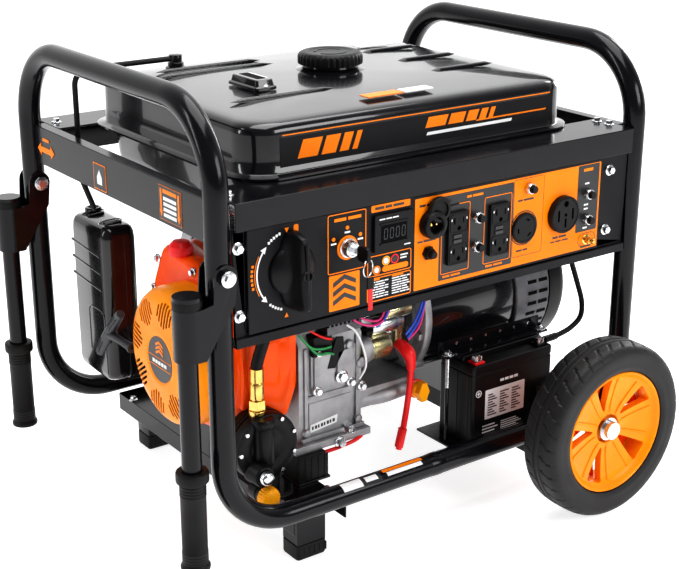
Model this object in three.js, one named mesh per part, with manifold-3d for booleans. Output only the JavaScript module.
// Open-frame portable generator with a dual-fuel engine, in millimetres, +Z up.
// X runs along the crankshaft (recoil starter at -X, wheels at +X) and the control panel faces -Y.
// The origin is on the ground under the middle of the whole machine.
import * as THREE from "three";
import { mergeVertices } from "three/addons/utils/BufferGeometryUtils.js";
import Module from "manifold-3d";

// ---- Driving dimensions ----
const gap = 0.3; // clearance between touching pieces
const sheet = 2.5; // pressed steel thickness

// Tube frame: two hoops bent from one size of tube
const tubeRadius = 15.875;
const tubeWall = 2;
const frameLength = 697.5; // between post centrelines along X
const frameWidth = 522; // between post centrelines along Y
const hoopHeight = 646; // top hoop centreline
const hoopBend = 104;
const railBend = 97;

// Cross beams, which carry the tank and the panel
const beamTop = 535.5;
const sideBeamHeight = 55;
const frontBeamHeight = 35.5;
const ledgeUnderTank = 10.125; // the beams' top flange reaches this far under the tank's edge

// Crossmembers under the rails, feet and axle
const crossmemberWidth = 86;
const crossmemberHeight = 28;
const engineCrossmemberX = -195;
const axleX = 224;
const footLength = 48;
const footWidth = 38;
const footHeight = 22;
const footInset = 51; // foot centre inside the rail centreline

// Wheels
const wheelRadius = 130;
const wheelWidth = 63;
const rimRadius = 91;
const wheelOverhang = 93.5; // wheel mid-plane outside the rail centreline
const axleRadius = 8;
const spacerRadius = 12;
const axleOverRail = 2.125; // the spacers pass this far above the bottom rail
const wedgeCount = 5;

// Crank axis, and where the units along it start and end
const crankY = -60;
const crankZ = 266;
const recoilFace = -326;
const recoilRadius = 98;
const shroudFace = -268;
const shroudRadius = 112;
const crankcaseStart = -167.7;
const crankcaseEnd = -62;
const statorStart = 45;
const statorEnd = 222;
const statorRadius = 105;
const rotorRadius = 62;
const shaftRadius = 14;
const endBellLength = 68;
const endCoverLength = 34;
const alternatorWidthOver = 4; // end bell and cover stand out over the stator
const engineFootTop = 136;
const engineFootBottom = 126;

// Fuel tank
const tankLength = 536;
const tankWidth = 420;
const tankCorner = 45;
const tankRim = 12;
const tankRimThickness = 4;
const tankShoulder = 604; // height of the top edge
const tankCrown = 611.5;
const tankFloor = 470;
const tankWall = 2;
const neckX = 12;
const neckY = 18;
const neckRadius = 40;
const neckTop = 619;
const capRadius = 47;
const capHeight = 18;

// Control panel
const panelBottom = 352;
const panelFaceLeft = -316;
const panelFaceRight = 275;
const panelRise = 7; // the printed face stands this far in front of the panel's flange
const buttonRadius = 5.5;

// Fold-down handles
const handleDrop = 380; // pivot to the end of the grip
const pivotHeight = 449;
const pinRadius = 5;
const handleTubeRadius = 12.7;
const handleOffset = 45; // handle tube outside the post centreline
const bracketSheet = 2.5;
const socketTop = 416;
const socketBottom = 350.5;
const plugHeight = 15;
const gripRadius = 16.7;
const gripCollarRadius = 20.7;
const gripLength = 135;

// Battery
const batteryLength = 155;
const batteryDepth = 76;
const batteryHeight = 125;
const batteryX = 83;
const batteryInset = 11.125; // battery behind the front rail
const regulatorInset = 60.125; // regulator centre behind the front rail
const rodRadius = 3;

// ---- Values worked out from them ----
const railHeight = wheelRadius - spacerRadius - axleOverRail - tubeRadius; // bottom rail centreline
const postX = frameLength / 2;
const postY = frameWidth / 2;
const postFront = postY + tubeRadius;
const railInner = postY - tubeRadius;
const tankLedge = postFront - (tankWidth / 2 - ledgeUnderTank);
const batteryFront = -(railInner - batteryInset);
const beamHalf = postX - tubeRadius - gap;
const sideBeamHalf = postY - tubeRadius - gap;
const channelTop = railHeight - tubeRadius - gap;
const channelBottom = channelTop - crossmemberHeight;
const decksTop = channelTop + gap;
const panelTop = beamTop - frontBeamHeight - gap;
const panelFlangeY = -(postFront - 9);
const panelFaceY = panelFlangeY - panelRise;
const onPanel = panelFaceY - gap;
const wheelMid = postY + wheelOverhang;
const reachLeft = postX + handleOffset + gripCollarRadius;
const reachRight = postX + tubeRadius;
const originShift = (reachLeft - reachRight) / 2;

// ---- Solids ----
const wasm = await Module();
wasm.setup();

function solidFrom(geometry) {
  const bare = geometry.clone();
  bare.deleteAttribute("normal");
  bare.deleteAttribute("uv");
  const merged = mergeVertices(bare, 1e-4);
  const mesh = new wasm.Mesh({
    numProp: 3,
    vertProperties: merged.attributes.position.array,
    triVerts: new Uint32Array(merged.index.array),
  });
  return new wasm.Manifold(mesh);
}

function geometryFrom(solid) {
  const mesh = solid.getMesh();
  const geometry = new THREE.BufferGeometry();
  geometry.setAttribute("position", new THREE.BufferAttribute(mesh.vertProperties, 3));
  geometry.setIndex(new THREE.BufferAttribute(mesh.triVerts, 1));
  geometry.computeVertexNormals();
  return geometry;
}

const join = (...pieces) => geometryFrom(pieces.map(solidFrom).reduce((a, b) => a.add(b)));

const cut = (body, ...tools) =>
  geometryFrom(tools.map(solidFrom).reduce((a, b) => a.subtract(b), solidFrom(body)));

function block(x0, x1, y0, y1, z0, z1) {
  const box = new THREE.BoxGeometry(x1 - x0, y1 - y0, z1 - z0);
  return box.translate((x0 + x1) / 2, (y0 + y1) / 2, (z0 + z1) / 2);
}

// A round bar along one axis; the centre is given in the other two, in X, Y, Z order.
function bar(axis, radius, from, to, centre, sides = 20) {
  const rod = new THREE.CylinderGeometry(radius, radius, to - from, sides);
  const middle = (from + to) / 2;
  if (axis === "x") return rod.rotateZ(-Math.PI / 2).translate(middle, centre[0], centre[1]);
  if (axis === "y") return rod.translate(centre[0], middle, centre[1]);
  return rod.rotateX(Math.PI / 2).translate(centre[0], centre[1], middle);
}

// An outline drawn in the two other axes (X, Y, Z order), extruded along one axis.
function prism(axis, outline, from, to) {
  const shape = new THREE.Shape(outline.map(([u, v]) => new THREE.Vector2(u, v)));
  const body = new THREE.ExtrudeGeometry(shape, { depth: to - from, bevelEnabled: false });
  const x = new THREE.Vector3(1, 0, 0);
  const y = new THREE.Vector3(0, 1, 0);
  const z = new THREE.Vector3(0, 0, 1);
  const turn = new THREE.Matrix4();
  if (axis === "x") return body.applyMatrix4(turn.makeBasis(y, z, x)).translate(from, 0, 0);
  if (axis === "y") {
    return body.applyMatrix4(turn.makeBasis(x, z, y.clone().negate())).translate(0, to, 0);
  }
  return body.translate(0, 0, from);
}

// A profile of [radius, distance along the axis], turned about the axis.
function revolve(axis, profile, centre, segments = 32) {
  const points = profile.map(([r, h]) => new THREE.Vector2(r, h));
  if (THREE.ShapeUtils.area(points) < 0) points.reverse();
  const body = new THREE.LatheGeometry(points, segments);
  if (axis === "x") return body.rotateZ(-Math.PI / 2).translate(0, centre[0], centre[1]);
  if (axis === "y") return body.translate(centre[0], 0, centre[1]);
  return body.rotateX(Math.PI / 2).translate(centre[0], centre[1], 0);
}

function ringPoints(radius, sides) {
  const point = (_, i) => {
    const angle = (2 * Math.PI * i) / sides;
    return new THREE.Vector2(radius * Math.cos(angle), radius * Math.sin(angle));
  };
  return Array.from({ length: sides }, point);
}

// A curve that stops exactly at the given stations.
class StationPath extends THREE.Curve {
  constructor(stations) {
    super();
    this.stations = stations;
  }

  at(u) {
    return Math.round(u * (this.stations.length - 1));
  }

  getPoint(u, target = new THREE.Vector3()) {
    return target.copy(this.stations[this.at(u)]);
  }

  getPointAt(u, target) {
    return this.getPoint(u, target);
  }

  getTangentAt(u, target = new THREE.Vector3()) {
    const i = this.at(u);
    const before = this.stations[Math.max(i - 1, 0)];
    const after = this.stations[Math.min(i + 1, this.stations.length - 1)];
    return target.subVectors(after, before).normalize();
  }
}

// Straight runs between corners, with each corner rounded to its bend radius.
function bentPath(corners, bends, arcSteps) {
  const stations = [corners[0]];
  bends.forEach((radius, k) => {
    const corner = corners[k + 1];
    const into = corner.clone().sub(corners[k]).normalize();
    const out = corners[k + 2].clone().sub(corner).normalize();
    const angle = into.angleTo(out);
    const side = out.clone().addScaledVector(into, -into.dot(out)).normalize();
    const start = corner.clone().addScaledVector(into, -radius * Math.tan(angle / 2));
    for (let i = 0; i <= arcSteps; i++) {
      const turned = (angle * i) / arcSteps;
      const station = start.clone().addScaledVector(into, radius * Math.sin(turned));
      stations.push(station.addScaledVector(side, radius * (1 - Math.cos(turned))));
    }
  });
  stations.push(corners[corners.length - 1]);
  return stations;
}

function pipe(stations, radius, sides, wall = 0) {
  const section = new THREE.Shape(ringPoints(radius, sides));
  if (wall > 0) section.holes.push(new THREE.Path(ringPoints(radius - wall, sides)));
  const options = { extrudePath: new StationPath(stations), steps: stations.length - 1 };
  return new THREE.ExtrudeGeometry(section, options);
}

const vectors = (points) => points.map(([x, y, z]) => new THREE.Vector3(x, y, z));

// Rings of rounded rectangles, [height, half length, half width, corner radius], skinned bottom to top.
function loft(rings, cornerSteps = 5) {
  const positions = [];
  const index = [];
  const around = 4 * (cornerSteps + 1);
  for (const [z, halfX, halfY, corner] of rings) {
    for (let q = 0; q < 4; q++) {
      const cx = (q === 0 || q === 3 ? 1 : -1) * (halfX - corner);
      const cy = (q < 2 ? 1 : -1) * (halfY - corner);
      for (let i = 0; i <= cornerSteps; i++) {
        const angle = (Math.PI / 2) * (q + i / cornerSteps);
        positions.push(cx + corner * Math.cos(angle), cy + corner * Math.sin(angle), z);
      }
    }
  }
  for (let r = 0; r < rings.length - 1; r++) {
    for (let i = 0; i < around; i++) {
      const a = r * around + i;
      const b = r * around + ((i + 1) % around);
      index.push(a, b, b + around, a, b + around, a + around);
    }
  }
  const last = rings.length - 1;
  positions.push(0, 0, rings[0][0], 0, 0, rings[last][0]);
  const bottomCentre = rings.length * around;
  for (let i = 0; i < around; i++) {
    const next = (i + 1) % around;
    index.push(bottomCentre, next, i);
    index.push(bottomCentre + 1, last * around + i, last * around + next);
  }
  const geometry = new THREE.BufferGeometry();
  geometry.setAttribute("position", new THREE.Float32BufferAttribute(positions, 3));
  geometry.setIndex(index);
  geometry.computeVertexNormals();
  return geometry;
}

// ---- Materials ----
const finish = (color, roughness, metalness) =>
  new THREE.MeshStandardMaterial({ color, roughness, metalness });
const blackPaint = finish(0x15161a, 0.35, 0.3);
const matteBlack = finish(0x1c1d20, 0.6, 0.1);
const rubber = finish(0x19191b, 0.85, 0);
const orangePlastic = finish(0xff8a12, 0.4, 0);
const orangePaint = finish(0xf4570c, 0.35, 0.1);
const aluminium = finish(0xa9abac, 0.45, 0.9);
const darkAluminium = finish(0x6c6f72, 0.55, 0.8);
const zinc = finish(0xcfd1d3, 0.3, 1);
const brass = finish(0xc9a24a, 0.3, 1);
const greyPlastic = finish(0x45474b, 0.6, 0);
const redRubber = finish(0xc8161d, 0.55, 0);
const yellowPlastic = finish(0xf0a51a, 0.5, 0);

const generator = new THREE.Group();
const machine = new THREE.Group();
machine.position.x = originShift;
generator.add(machine);

function place(name, geometry, material) {
  const mesh = new THREE.Mesh(geometry, material);
  mesh.name = name;
  machine.add(mesh);
  return mesh;
}

// ---- Frame ----
function frameHoop(side) {
  const x = side * postX;
  const corners = vectors([
    [(side * gap) / 2, -postY, railHeight],
    [x, -postY, railHeight],
    [x, -postY, hoopHeight],
    [x, postY, hoopHeight],
    [x, postY, railHeight],
    [(side * gap) / 2, postY, railHeight],
  ]);
  const stations = bentPath(corners, [railBend, hoopBend, hoopBend, railBend], 6);
  return pipe(stations, tubeRadius, 16, tubeWall);
}

const pinHole = bar("y", pinRadius + gap, -postFront - 20, postFront + 20, [-postX, pivotHeight], 12);
place("frame_left_tube", cut(frameHoop(-1), pinHole), blackPaint);
place("frame_right_tube", frameHoop(1), blackPaint);

// A channel between the two posts of one end, open towards the engine.
function sideBeam(side) {
  const web = side * (postX + sheet / 2);
  const inner = web - side * sheet;
  const lip = side * (beamHalf + gap);
  const low = beamTop - sideBeamHeight;
  const outline = [
    [web, low],
    [lip, low],
    [lip, low + sheet],
    [inner, low + sheet],
    [inner, beamTop - sheet],
    [lip, beamTop - sheet],
    [lip, beamTop],
    [web, beamTop],
  ];
  return prism("y", outline, -sideBeamHalf, sideBeamHalf);
}

// An angle along the front or rear whose wide top flange is the tank's seat.
function tankBeam(side, height) {
  const face = side * postFront;
  const outline = [
    [face, beamTop - height],
    [face - side * sheet, beamTop - height],
    [face - side * sheet, beamTop - sheet],
    [face - side * tankLedge, beamTop - sheet],
    [face - side * tankLedge, beamTop],
    [face, beamTop],
  ];
  return prism("x", outline, -beamHalf, beamHalf);
}

place("left_beam", sideBeam(-1), blackPaint);
place("right_beam", sideBeam(1), blackPaint);
place("front_beam", tankBeam(-1, frontBeamHeight), blackPaint);
place("rear_beam", tankBeam(1, sideBeamHeight), blackPaint);

// An upside-down channel under both rails.
function crossmember(x) {
  const half = crossmemberWidth / 2;
  const outline = [
    [x - half, channelBottom],
    [x - half + sheet, channelBottom],
    [x - half + sheet, channelTop - sheet],
    [x + half - sheet, channelTop - sheet],
    [x + half - sheet, channelBottom],
    [x + half, channelBottom],
    [x + half, channelTop],
    [x - half, channelTop],
  ];
  return prism("y", outline, -postY + 11, postY - 11);
}

function footBracket(side) {
  const y = side * (postY - footInset);
  const halfX = footLength / 2 - 1;
  const halfY = footWidth / 2 - 0.5;
  return block(
    engineCrossmemberX - halfX, engineCrossmemberX + halfX,
    y - halfY, y + halfY,
    footHeight + gap, channelTop - sheet / 2,
  );
}

place(
  "engine_crossmember",
  join(crossmember(engineCrossmemberX), footBracket(-1), footBracket(1)),
  blackPaint,
);

// A plate that stands inside the rail and carries the axle bolt.
function axlePlate(side) {
  const inner = side * (postY - tubeRadius - gap - 4.5);
  const outer = side * (postY - tubeRadius - gap - 0.5);
  const y0 = Math.min(inner, outer);
  const y1 = Math.max(inner, outer);
  return block(axleX - 25, axleX + 25, y0, y1, channelBottom, wheelRadius + 28);
}

const axleHole = bar("y", axleRadius + gap, -postY, postY, [axleX, wheelRadius], 16);
place(
  "alternator_crossmember",
  cut(join(crossmember(axleX), axlePlate(-1), axlePlate(1)), axleHole),
  blackPaint,
);

function foot(side) {
  const rings = [
    [0, footLength / 2 - 1, footWidth / 2 - 1, 4],
    [3, footLength / 2, footWidth / 2, 4],
    [footHeight, footLength / 2, footWidth / 2, 4],
  ];
  return loft(rings, 2).translate(engineCrossmemberX, side * (postY - footInset), 0);
}

place("front_foot", foot(-1), rubber);
place("rear_foot", foot(1), rubber);

// ---- Wheels ----
// Profiles give [radius, distance outboard of the wheel's mid-plane].
function wheelPart(side, profile, segments) {
  const placed = profile.map(([r, out]) => [r, side * (wheelMid + out)]);
  return revolve("y", placed, [axleX, wheelRadius], segments);
}

function tire(side) {
  const half = wheelWidth / 2;
  const profile = [
    [rimRadius, -half + 6],
    [rimRadius + 9, -half + 0.5],
    [wheelRadius - 12, -half],
    [wheelRadius - 3, -half + 6],
    [wheelRadius, -half + 16],
    [wheelRadius, half - 16],
    [wheelRadius - 3, half - 6],
    [wheelRadius - 12, half],
    [rimRadius + 9, half - 0.5],
    [rimRadius, half - 6],
    [rimRadius, -half + 6],
  ];
  return wheelPart(side, profile, 36);
}

function rim(side) {
  const edge = rimRadius - gap;
  const bore = axleRadius + 0.5;
  const profile = [
    [bore, -18],
    [20, -18],
    [22, -2],
    [edge - 12, 6],
    [edge - 5, -24],
    [edge, -25],
    [edge, 25],
    [edge - 3, 28],
    [edge - 8, 24],
    [edge - 14, 17],
    [24, 7],
    [20, 12],
    [bore, 12],
    [bore, -18],
  ];
  const wedges = Array.from({ length: wedgeCount }, (_, k) => {
    const turn = (2 * Math.PI * k) / wedgeCount;
    const corner = (radius, angle) => [
      axleX + radius * Math.cos(turn + angle),
      wheelRadius + radius * Math.sin(turn + angle),
    ];
    const outline = [corner(34, 0.1), corner(edge - 20, -0.16), corner(edge - 20, 0.3)];
    const near = side * (wheelMid - 16);
    const far = side * (wheelMid + 24);
    return prism("y", outline, Math.min(near, far), Math.max(near, far));
  });
  return cut(wheelPart(side, profile, 36), ...wedges);
}

// Head, spacer over the rail, bare bolt through the hub, then the outer nut.
function axle(side) {
  const plate = postY - tubeRadius - gap - 4.5;
  const hubIn = wheelMid - 18;
  const hubOut = wheelMid + 12;
  const profile = [
    [0, plate - gap - 5],
    [13, plate - gap - 5],
    [13, plate - gap],
    [axleRadius, plate - gap],
    [axleRadius, plate + 4 + gap],
    [spacerRadius, plate + 4 + gap],
    [spacerRadius, hubIn - gap],
    [axleRadius, hubIn - gap],
    [axleRadius, hubOut + gap],
    [13, hubOut + gap],
    [13, hubOut + gap + 11],
    [0, hubOut + gap + 11],
  ];
  const placed = profile.map(([r, out]) => [r, side * out]);
  return revolve("y", placed, [axleX, wheelRadius], 16);
}

for (const [word, side] of [["front", -1], ["rear", 1]]) {
  place(`${word}_tire`, tire(side), rubber);
  place(`${word}_rim`, rim(side), orangePlastic);
  place(`${word}_axle`, axle(side), zinc);
}

// ---- Fuel tank ----
function tankShell(inset) {
  const halfX = tankLength / 2 - inset;
  const halfY = tankWidth / 2 - inset;
  const corner = tankCorner - inset;
  const seat = beamTop + gap;
  const rim = inset > 0 ? 0 : tankRim + 2;
  const low = 6;
  return loft([
    [tankFloor + inset, halfX - 24, halfY - 30, corner - 10],
    [tankFloor + inset + 6, halfX - 12, halfY - 19, corner - 3],
    [seat, halfX - low, halfY - low * 2.5, corner],
    [seat + inset / 4, halfX + rim, halfY + rim, corner + rim],
    [seat + tankRimThickness, halfX + rim, halfY + rim, corner + rim],
    [seat + tankRimThickness + 0.5, halfX + 2, halfY + 2, corner + 2],
    [tankShoulder - 14, halfX, halfY, corner],
    [tankShoulder - 5 - inset, halfX - 3, halfY - 3, corner - 3],
    [tankShoulder - inset, halfX - 10, halfY - 10, corner - 7],
    [tankShoulder + 4 - inset, halfX - 48, halfY - 45, corner - 15],
    [tankCrown - inset, halfX - 148, halfY - 120, corner - 25],
  ]);
}

const neck = bar("z", neckRadius, tankShoulder - 5, neckTop, [neckX, neckY], 24);
const neckHole = bar("z", neckRadius - 6, tankShoulder - 20, neckTop + 1, [neckX, neckY], 24);
place("fuel_tank", cut(join(tankShell(0), neck), tankShell(tankWall), neckHole), blackPaint);

const capProfile = [
  [0, neckTop + gap],
  [capRadius - 2, neckTop + gap],
  [capRadius, neckTop + gap + 2],
  [capRadius, neckTop + capHeight - 3],
  [capRadius - 4, neckTop + capHeight],
  [0, neckTop + capHeight],
];
place("fuel_cap", revolve("z", capProfile, [neckX, neckY], 24), matteBlack);

const gaugeRings = [
  [tankCrown + gap, 18, 36.5, 5],
  [tankCrown + 4, 18, 36.5, 5],
  [tankCrown + 4.5, 15, 33, 5],
  [tankCrown + 14, 13, 31, 5],
];
place("fuel_gauge", loft(gaugeRings, 2).translate(-148, -26, 0), matteBlack);

const ventX = -157;
const ventY = 168;
const ventHose = bentPath(
  vectors([[ventX, ventY, 622], [-318, ventY, 622], [-318, ventY, 470], [-300, ventY, 420]]),
  [22, 60],
  4,
);
place(
  "tank_vent",
  join(bar("z", 12, tankCrown - 3, 628, [ventX, ventY], 16), pipe(ventHose, 4, 8)),
  matteBlack,
);

// ---- Control panel ----
function panelBody() {
  const y = panelFlangeY;
  const lip = y - 5;
  const flange = [
    [y + 28, panelBottom],
    [lip, panelBottom],
    [lip, panelBottom + 12],
    [y, panelBottom + 14],
    [y, panelTop],
    [y + sheet, panelTop],
    [y + sheet, panelBottom + 13],
    [lip + sheet, panelBottom + 11],
    [lip + sheet, panelBottom + sheet],
    [y + 28, panelBottom + sheet],
  ];
  const low = panelBottom + 16;
  const raised = block(panelFaceLeft, panelFaceRight, panelFaceY, y + 1, low, panelTop);
  const inside = block(
    panelFaceLeft + sheet, panelFaceRight - sheet,
    panelFaceY + sheet, y + 10,
    low + sheet, panelTop - sheet,
  );
  return cut(join(prism("x", flange, -beamHalf, beamHalf), raised), inside);
}

place("control_panel", panelBody(), blackPaint);

const knobX = -253;
const knobZ = 440;
function selectorKnob() {
  const front = onPanel;
  const blade = [
    [front - 6, knobZ - 50],
    [front - 30, knobZ - 48],
    [front - 34, knobZ - 10],
    [front - 31, knobZ + 20],
    [front - 20, knobZ + 40],
    [front - 6, knobZ + 50],
  ];
  return join(
    bar("y", 26, front - 8, front, [knobX, knobZ], 24),
    prism("x", blade, knobX - 7, knobX + 7),
    bar("y", 16, front - 26, front - 7, [knobX, knobZ], 16),
  );
}

place("selector_knob", selectorKnob(), matteBlack);

const keyX = -170;
const keyZ = 452;
place(
  "ignition_key",
  join(
    bar("y", 12, onPanel - 12, onPanel, [keyX, keyZ], 16),
    block(keyX - 1.2, keyX + 1.2, onPanel - 26, onPanel - 11, keyZ - 4, keyZ + 4),
    block(keyX - 3, keyX + 3, onPanel - 46, onPanel - 25, keyZ - 12, keyZ + 12),
  ),
  zinc,
);

const roundOutlet = (x, z, radius, depth) => bar("y", radius, onPanel - depth, onPanel, [x, z], 20);
const duplexOutlet = (x, z) => block(x - 17.5, x + 17.5, onPanel - 6, onPanel, z - 36, z + 36);
place("dc_outlet", cut(roundOutlet(-37, 460, 19, 14), roundOutlet(-37, 460, 10.5, 20)), matteBlack);
place("duplex_outlet_left", duplexOutlet(7, 433), matteBlack);
place("duplex_outlet_right", duplexOutlet(80, 432), matteBlack);
place("twist_lock_outlet", roundOutlet(128, 424, 22, 4), matteBlack);
place("range_outlet", roundOutlet(199, 432, 26.5, 10), matteBlack);

const buttons = [
  ["dc_breaker", -40.6, 420.5],
  ["ac_breaker_left", 41.5, 455],
  ["ac_breaker_right", 41, 414.6],
  ["twist_lock_breaker", 133.8, 479.8],
  ["main_breaker_upper", 246.8, 453.3],
  ["main_breaker_lower", 247.1, 416.1],
];
for (const [name, x, z] of buttons) {
  place(name, bar("y", buttonRadius, onPanel - 15, onPanel, [x, z], 12), matteBlack);
}

// ---- Engine ----
const crank = [crankY, crankZ];
const shaftBore = (from, to) => bar("x", shaftRadius + 0.5, from, to, crank, 20);

// A point at a distance along and across the tilted cylinder's axis, as [y, z].
const cylinderTilt = (25 * Math.PI) / 180;
function tilted(along, across) {
  const y = crankY + along * Math.cos(cylinderTilt) - across * Math.sin(cylinderTilt);
  const z = crankZ + along * Math.sin(cylinderTilt) + across * Math.cos(cylinderTilt);
  return [y, z];
}

const deck = 139.7; // crank axis to the cylinder's foot
const boreHalf = 58;
const oilX = 32;
const oilZ = 171;
const crankcaseFront = crankY - 100;
function crankcase() {
  const outline = [
    [crankcaseFront, engineFootTop - 1],
    [crankY + 130, engineFootTop - 1],
    tilted(deck, -boreHalf),
    tilted(deck, boreHalf),
    [crankY + 30, crankZ + 105],
    [crankY - 70, crankZ + 60],
    [crankcaseFront, crankZ + 12],
  ];
  const feet = block(
    crankcaseStart - 15, crankcaseEnd + 7,
    crankcaseFront - 14, crankY + 122,
    engineFootBottom, engineFootTop,
  );
  const adapter = bar("x", 66, crankcaseEnd - 5, statorStart - gap, crank, 28);
  const filler = bar("y", 9, crankcaseFront - 6, crankcaseFront + 20, [oilX, oilZ], 12);
  const fillerArm = block(
    crankcaseEnd - 5, oilX + 12, crankcaseFront + 8, crankY, oilZ - 14, oilZ + 14,
  );
  const body = join(
    prism("x", outline, crankcaseStart, crankcaseEnd), feet, adapter, filler, fillerArm,
  );
  return cut(body, shaftBore(crankcaseStart - 1, statorStart + 1));
}

place("crankcase", crankcase(), aluminium);

function cylinderHead() {
  const start = deck + gap;
  const barrel = [
    tilted(start, -boreHalf), tilted(start + 96, -boreHalf),
    tilted(start + 96, boreHalf), tilted(start, boreHalf),
  ];
  const cover = [
    tilted(start + 95, -boreHalf + 9), tilted(start + 122, -boreHalf + 12),
    tilted(start + 122, boreHalf - 12), tilted(start + 95, boreHalf - 9),
  ];
  return join(prism("x", barrel, -150, -65), prism("x", cover, -146, -69));
}

place("cylinder_head", cylinderHead(), aluminium);

// Crankshaft, flywheel and rotor turn as one.
const rotorStart = statorStart + 26;
const rotorEnd = statorEnd - 10;
const bearingEnd = statorEnd + endBellLength - 12;
place(
  "crank_train",
  join(
    bar("x", shaftRadius, shroudFace + 10, bearingEnd, crank, 20),
    bar("x", 84, shroudFace + 14, crankcaseStart - 25, crank, 28),
    bar("x", rotorRadius, rotorStart, rotorEnd, crank, 24),
  ),
  darkAluminium,
);

function fanShroud() {
  const end = crankcaseStart - gap - 15;
  const wall = 3;
  const lobe = (inset) => [
    [crankY - 78 + inset, crankZ + 40],
    [crankY + 12 + inset, crankZ + 126 - inset],
    [crankY + 92 - inset, crankZ + 132 - inset],
    [crankY + 126 - inset, crankZ + 62],
    [crankY + 90 - inset, crankZ],
  ];
  const outer = join(
    bar("x", shroudRadius, shroudFace, end, crank, 32),
    prism("x", lobe(0), shroudFace, end),
  );
  return cut(
    outer,
    bar("x", shroudRadius - wall, shroudFace + wall, end + 1, crank, 32),
    prism("x", lobe(wall), shroudFace + wall, end + 1),
    bar("x", 84, shroudFace - 1, shroudFace + 10, crank, 32),
  );
}

place("fan_shroud", fanShroud(), orangePaint);

const recoilBack = shroudFace - gap;
const recoilProfile = [
  [0, recoilFace],
  [60, recoilFace],
  [82, recoilFace + 3],
  [93, recoilFace + 12],
  [recoilRadius, recoilFace + 26],
  [recoilRadius, recoilBack],
  [recoilRadius - 3, recoilBack],
  [recoilRadius - 3, recoilFace + 27],
  [90.5, recoilFace + 14],
  [81, recoilFace + 6],
  [60, recoilFace + 3],
  [0, recoilFace + 3],
];
const pullX = recoilFace + 10;
const pullZ = crankZ - 18;
const pullStart = crankY + recoilRadius + gap;
const ropeHole = bar("y", 4.5, crankY + 60, pullStart, [pullX, pullZ], 12);
place("recoil_cover", cut(revolve("x", recoilProfile, crank, 36), ropeHole), orangePlastic);

// A T-shaped pull whose stem seats against the cover's rear edge; its rope runs on inside.
const pullReach = 72;
const pullTravel = 90;
const pullTilt = (42 * Math.PI) / 180;
function recoilHandle() {
  const grip = new THREE.CylinderGeometry(8.5, 8.5, 112, 12);
  grip.rotateX(Math.PI / 2 + pullTilt).translate(pullX, pullStart + pullReach, pullZ);
  return join(
    bar("y", 6.5, pullStart, pullStart + pullReach, [pullX, pullZ], 12),
    bar("y", 2.5, pullStart - 10 - pullTravel, pullStart + 5, [pullX, pullZ], 8),
    grip,
  );
}

place("recoil_handle", recoilHandle(), greyPlastic);

const cleanerRings = [
  [150, 22, 50, 12],
  [158, 27.5, 58, 14],
  [380, 27.5, 58, 14],
  [392, 20, 50, 12],
];
const cleanerInside = cleanerRings.map(([z, a, b, r], k) => [z + (k < 2 ? 3 : -3), a - 3, b - 3, r - 3]);
place(
  "air_cleaner",
  cut(
    loft(cleanerRings, 4).translate(-272.5, 200, 0),
    loft(cleanerInside, 4).translate(-272.5, 200, 0),
    bar("x", 18, -250, -240, [190, 330], 16),
  ),
  matteBlack,
);

const mufflerRings = [
  [30, 52, 48, 30],
  [36, 60, 56, 34],
  [206, 60, 56, 34],
  [212, 52, 48, 30],
];
function muffler() {
  const lie = (geometry) => geometry.rotateY(Math.PI / 2).translate(0, 148, 275);
  const inside = mufflerRings.map(([x, a, b, r], k) => [x + (k < 2 ? 2 : -2), a - 2, b - 2, r - 2]);
  return cut(
    join(lie(loft(mufflerRings, 4)), bar("y", 14, 190, 222, [180, 275], 16)),
    lie(loft(inside, 4)),
    bar("y", 12, 189, 223, [180, 275], 16),
  );
}

place("muffler", muffler(), darkAluminium);

const starterY = -150;
const bootX = 9;
const bootZ = 238;
const bootEnd = starterY - 18;
place(
  "starter_motor",
  join(
    bar("x", 20, crankcaseEnd + gap, -10, [starterY, 247], 20),
    bar("x", 13, -42, 16, [starterY, 277], 16),
    block(-50, -14, starterY - 8, starterY + 8, 255, 275),
    block(bootX - 6, bootX + 6, starterY - 5, starterY + 5, bootZ, 275),
    bar("y", 8, bootEnd, starterY + 2, [bootX, bootZ], 12),
  ),
  zinc,
);

place(
  "oil_cap",
  join(
    bar("y", 13, crankcaseFront - 16, crankcaseFront - 6 - gap, [oilX, oilZ], 16),
    block(oilX - 4, oilX + 4, crankcaseFront - 28, crankcaseFront - 15, oilZ - 14, oilZ + 14),
  ),
  yellowPlastic,
);

// ---- Alternator ----
const statorProfile = [
  [rotorRadius + 2.5, statorStart],
  [statorRadius + 5, statorStart],
  [statorRadius + 5, statorStart + 14],
  [statorRadius, statorStart + 14],
  [statorRadius, statorEnd],
  [rotorRadius + 2.5, statorEnd],
  [rotorRadius + 2.5, statorStart],
];
place("stator", revolve("x", statorProfile, crank, 36), blackPaint);

const endBellStart = statorEnd + gap;
const endBellEnd = statorEnd + endBellLength;
const endBellRadius = statorRadius + alternatorWidthOver;
const mountTop = decksTop + 27;
function endBell() {
  const body = join(
    bar("x", endBellRadius, endBellStart, endBellEnd, crank, 36),
    block(endBellStart + 8, endBellEnd - 8, crankY - 70, crankY + 70, mountTop + gap, crankZ - 70),
  );
  return cut(body, shaftBore(endBellStart - 1, endBellEnd + 1));
}

place("end_bell", endBell(), darkAluminium);

const endCoverStart = endBellEnd + gap;
const endCoverEnd = endCoverStart + endCoverLength;
const endCoverProfile = [
  [endBellRadius, endCoverStart],
  [endBellRadius, endCoverEnd - 8],
  [endBellRadius - 6, endCoverEnd],
  [0, endCoverEnd],
  [0, endCoverEnd - 2],
  [endBellRadius - 7, endCoverEnd - 2],
  [endBellRadius - 2, endCoverEnd - 9],
  [endBellRadius - 2, endCoverStart],
  [endBellRadius, endCoverStart],
];
place("end_cover", revolve("x", endCoverProfile, crank, 36), matteBlack);

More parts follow.
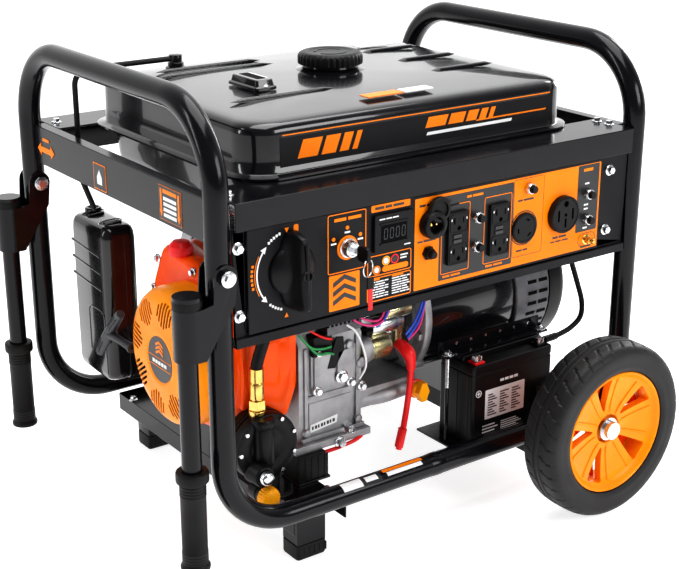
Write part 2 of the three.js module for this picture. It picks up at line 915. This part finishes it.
// ---- Rubber mounts, each pair on one steel strip ----
function mountPair(x, halfX, blockYs, halfY, top) {
  const ends = blockYs.map((y) => [y - halfY, y + halfY]).flat();
  const strip = block(
    x - halfX + 6, x + halfX - 6, Math.min(...ends), Math.max(...ends), decksTop, decksTop + 3,
  );
  const blocks = blockYs.map((y) =>
    block(x - halfX, x + halfX, y - halfY, y + halfY, decksTop, top),
  );
  return join(strip, ...blocks);
}

place(
  "engine_mounts",
  mountPair(-160, 22.5, [crankY - 101, crankY + 102], 20, engineFootBottom - gap),
  rubber,
);
place(
  "alternator_mounts",
  mountPair((endBellStart + endBellEnd) / 2 - 8, 18, [crankY - 45, crankY + 45], 18, mountTop),
  rubber,
);

// ---- Battery ----
const batteryBase = decksTop + 3 + gap;
const batteryTop = batteryBase + batteryHeight;
const batteryBack = batteryFront + batteryDepth;
const batteryEnd = batteryX + batteryLength;
const clampBottom = batteryTop + 8 + gap;
const rodY = batteryFront + 40;
function battery() {
  return join(
    block(batteryX, batteryEnd, batteryFront, batteryBack, batteryBase, batteryTop),
    block(
      batteryX + 3, batteryEnd - 3, batteryFront + 26, batteryBack - 3,
      batteryTop - 1, batteryTop + 8,
    ),
    block(batteryX + 8, batteryX + 26, batteryFront + 5, batteryFront + 23, batteryTop - 1, batteryTop + 12),
    block(batteryEnd - 26, batteryEnd - 8, batteryFront + 5, batteryFront + 23, batteryTop - 1, batteryTop + 12),
  );
}

place("battery", battery(), matteBlack);

// Tray, two threaded rods and the bar they pull down.
const rodLeft = batteryX - rodRadius - 12;
const rodRight = batteryEnd + rodRadius + 6;
function batteryTray() {
  const plate = block(
    rodLeft - 8, rodRight + 8, batteryFront - 4, batteryBack + 22, decksTop, decksTop + 3,
  );
  const rods = [rodLeft, rodRight].map((x) =>
    bar("z", rodRadius, decksTop + 1, clampBottom + 12, [x, rodY], 8),
  );
  const flat = block(
    rodLeft - 8, rodRight + 8, rodY - 10, rodY + 14, clampBottom, clampBottom + 3,
  );
  const upright = block(
    rodLeft - 8, rodRight + 8, rodY + 11, rodY + 14, clampBottom, clampBottom + 19,
  );
  return join(plate, ...rods, flat, upright);
}

place("battery_tray", batteryTray(), blackPaint);

const cableEnd = batteryEnd - 8 + gap;
const cableRoute = new THREE.CatmullRomCurve3(
  vectors([
    [262, -226, 372],
    [270, -226, 345],
    [287, -225, 305],
    [303, -224, 265],
    [302, -224, 240],
    [284, -223, 226],
    [262, -222, 220],
    [cableEnd + 14, -222, batteryTop + 6],
    [cableEnd, -222, batteryTop + 6],
  ]),
);
place("battery_cable", pipe(cableRoute.getPoints(28), 4, 8), rubber);

// ---- Gas regulator ----
const regulatorX = -247;
const regulatorZ = 170;
const regulatorY = -(railInner - regulatorInset);
const fittingTop = 262;
function gasRegulator() {
  return join(
    bar("y", 48, regulatorY - 20, regulatorY + 20, [regulatorX, regulatorZ], 28),
    bar("z", 15, regulatorZ - 24, regulatorZ + 44, [regulatorX - 7, regulatorY - 18], 16),
    bar("z", 9.5, regulatorZ + 43, fittingTop, [regulatorX - 7, regulatorY - 5], 12),
    block(
      regulatorX - 16, regulatorX + 2, regulatorY - 18, regulatorY,
      regulatorZ + 30, regulatorZ + 50,
    ),
    bar("y", 15, regulatorY - 42, regulatorY - 18, [regulatorX - 20, regulatorZ - 28], 16),
    bar("y", 13, regulatorY - 40, regulatorY - 10, [regulatorX - 14, regulatorZ - 60], 16),
    block(
      regulatorX + 10, regulatorX + 42, regulatorY + 10, regulatorY + 19, decksTop, regulatorZ,
    ),
    block(
      regulatorX - 27, regulatorX + 24, regulatorY - 12, regulatorY + 12, regulatorZ - 68,
      regulatorZ - 20,
    ),
  );
}

place("gas_regulator", gasRegulator(), matteBlack);
place(
  "primer_button",
  bar("y", 9.5, regulatorY - 53, regulatorY - 42 - gap, [regulatorX - 20, regulatorZ - 28], 16),
  zinc,
);

const hoseRoute = new THREE.CatmullRomCurve3(
  vectors([
    [regulatorX - 7, regulatorY - 5, fittingTop + gap],
    [regulatorX - 6, regulatorY - 5, 285],
    [regulatorX + 4, regulatorY - 6, 315],
    [regulatorX + 12, regulatorY - 12, 350],
    [regulatorX + 10, regulatorY - 22, 385],
    [regulatorX + 2, regulatorY - 28, 415],
  ]),
);
place("gas_hose", pipe(hoseRoute.getPoints(16), 8, 10), rubber);

// ---- Starter lead: a loose red cable that hangs from its boot ----
const leadRoute = new THREE.CatmullRomCurve3(
  vectors([
    [bootX, bootEnd - 2, bootZ],
    [bootX, bootEnd - 6, bootZ],
    [bootX + 2, bootEnd - 11, bootZ - 8],
    [bootX + 2, bootEnd - 12, bootZ - 40],
    [bootX - 2, bootEnd - 11, bootZ - 80],
    [bootX - 8, bootEnd - 10, bootZ - 118],
    [bootX - 15, bootEnd - 9, bootZ - 150],
  ]),
);
place("starter_lead", pipe(leadRoute.getPoints(20), 4.5, 8), redRubber);

// ---- Fold-down handles ----
const bracketInner = tubeRadius + gap;
const bracketOuter = bracketInner + bracketSheet;
const tubeX = -postX - handleOffset;
const bendX = tubeX + 2;
const gripBottom = pivotHeight - handleDrop;
const gripTop = gripBottom + gripLength;

function cheekOutline() {
  const arc = Array.from({ length: 9 }, (_, i) => {
    const angle = (Math.PI * i) / 8;
    return [-postX + 16 * Math.cos(angle), pivotHeight + 16 * Math.sin(angle)];
  });
  return [
    [-postX + 12, pivotHeight - 35],
    ...arc,
    [-postX - 18, socketTop + 3],
    [bendX + 8, socketTop],
    [bendX, socketTop],
    [bendX, socketBottom],
    [bendX + 14, socketBottom],
  ];
}

function handleBracket(y) {
  const centre = [bendX, y];
  const bend = cut(
    bar("z", bracketOuter, socketBottom, socketTop, centre, 24),
    bar("z", bracketInner, socketBottom - 1, socketTop + 1, centre, 24),
    block(bendX, bendX + 30, y - 30, y + 30, socketBottom - 1, socketTop + 1),
  );
  return join(
    bend,
    prism("y", cheekOutline(), y - bracketOuter, y - bracketInner),
    prism("y", cheekOutline(), y + bracketInner, y + bracketOuter),
    bar("z", bracketOuter - 0.6, socketTop - 3, socketTop + plugHeight, centre, 24),
    bar("z", bracketInner + 0.5, socketBottom + 2, socketBottom + 5, centre, 24),
    bar("z", handleTubeRadius, gripBottom + 12, socketTop, [tubeX, y], 16),
    bar("y", pinRadius, y - bracketOuter - 5, y + bracketOuter + 5, [-postX, pivotHeight], 12),
    bar("y", 10, y - bracketOuter - 7, y - bracketOuter + 0.5, [-postX, pivotHeight], 16),
    bar("y", 10, y + bracketOuter - 0.5, y + bracketOuter + 7, [-postX, pivotHeight], 16),
  );
}

function handleGrip(y) {
  const bore = handleTubeRadius + gap;
  const profile = [
    [0, gripBottom],
    [19, gripBottom],
    [19, gripBottom + 5],
    [gripRadius, gripBottom + 8],
    [gripRadius, gripTop - 15],
    [gripCollarRadius, gripTop - 13],
    [gripCollarRadius, gripTop - 2],
    [18, gripTop],
    [bore, gripTop],
    [bore, gripBottom + 12 - gap],
    [0, gripBottom + 12 - gap],
  ];
  return revolve("z", profile, [tubeX, y], 20);
}

for (const [word, side] of [["front", -1], ["rear", 1]]) {
  place(`${word}_handle`, handleBracket(side * postY), blackPaint);
  place(`${word}_grip`, handleGrip(side * postY), rubber);
}

export default generator;
